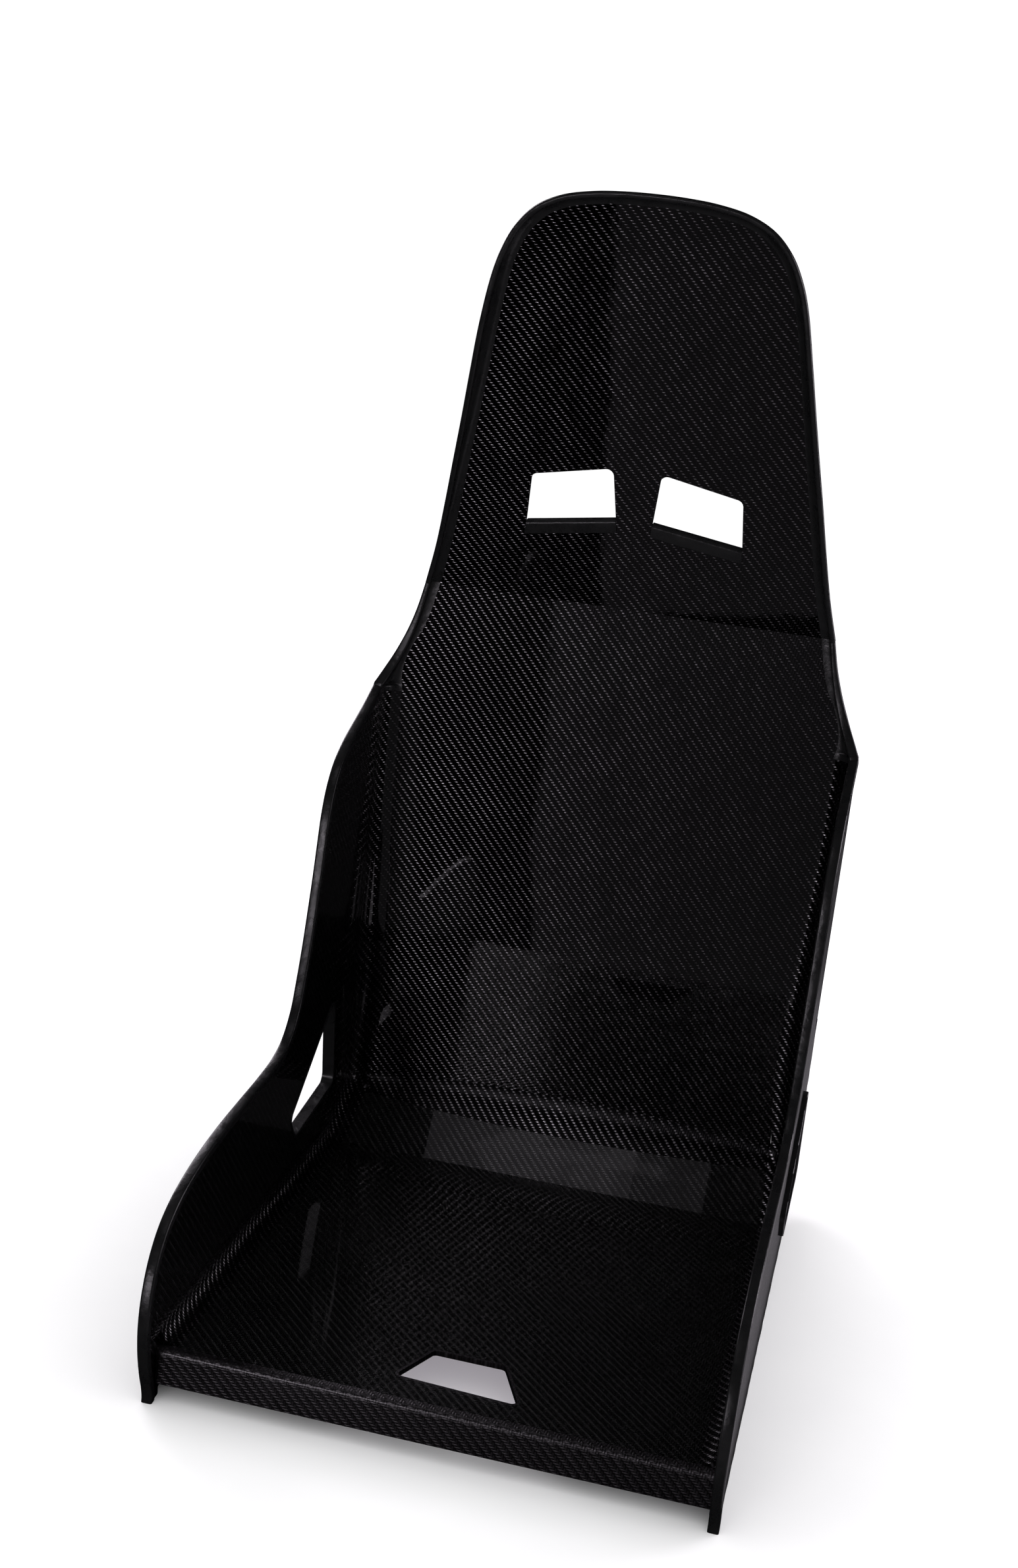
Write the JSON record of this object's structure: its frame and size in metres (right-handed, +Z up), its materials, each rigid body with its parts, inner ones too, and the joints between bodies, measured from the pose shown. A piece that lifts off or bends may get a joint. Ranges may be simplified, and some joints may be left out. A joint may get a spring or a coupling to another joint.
{
  "type": "racing bucket seat shell",
  "caption": "Unupholstered composite bucket seat shell with raised side wings, a tall head panel and slots for a race harness.",
  "frame": {"origin": "middle of the footprint on the floor the shell stands on", "axes": "+Z up, -Y towards the sitter's knees, +X to the right when looking at the seat from the front"},
  "size_m": [0.4276, 0.5162, 0.8556],
  "materials": {
    "gloss_twill": "clear-coated black 2x2 twill laminate, high gloss",
    "fillet_twill": "black twill tape under resin, glossy with a visible weave",
    "satin_twill": "dark grey satin twill laminate",
    "raw_skin": "rough, wrinkled dark grey laminate as it left the bag",
    "smooth_edge": "smooth black gel-coated edge, semi-gloss"
  },
  "bodies": {
    "root": {"base_pan": "gloss_twill", "base_outer_skin": "raw_skin", "crotch_slot_edge": "satin_twill", "front_apron": "satin_twill", "apron_fold": "satin_twill", "rear_ramp": "gloss_twill", "ramp_band": "fillet_twill", "lower_back_panel": "gloss_twill", "lower_back_outer_skin": "raw_skin", "head_panel": "gloss_twill", "head_outer_skin": "raw_skin", "head_flange": "smooth_edge", "head_rim": "smooth_edge", "side_plate_right": "gloss_twill", "side_plate_left": "gloss_twill", "side_outer_skin_right": "raw_skin", "side_outer_skin_left": "raw_skin", "wing_panel_right": "gloss_twill", "wing_panel_left": "gloss_twill", "wing_outer_skin_right": "raw_skin", "wing_outer_skin_left": "raw_skin", "base_fillet_right": "fillet_twill", "base_fillet_left": "fillet_twill", "corner_fillet_right": "fillet_twill", "corner_fillet_left": "fillet_twill", "back_fillet_right": "gloss_twill", "back_fillet_left": "gloss_twill", "shoulder_fillet_right": "smooth_edge", "shoulder_fillet_left": "smooth_edge", "wing_rim_right": "smooth_edge", "wing_rim_left": "smooth_edge", "side_rim_right": "smooth_edge", "side_rim_left": "smooth_edge", "shoulder_slot_lip_right": "smooth_edge", "shoulder_slot_lip_left": "smooth_edge", "lap_slot_lip_right": "smooth_edge", "lap_slot_lip_left": "smooth_edge"}
  },
  "joints": []
}
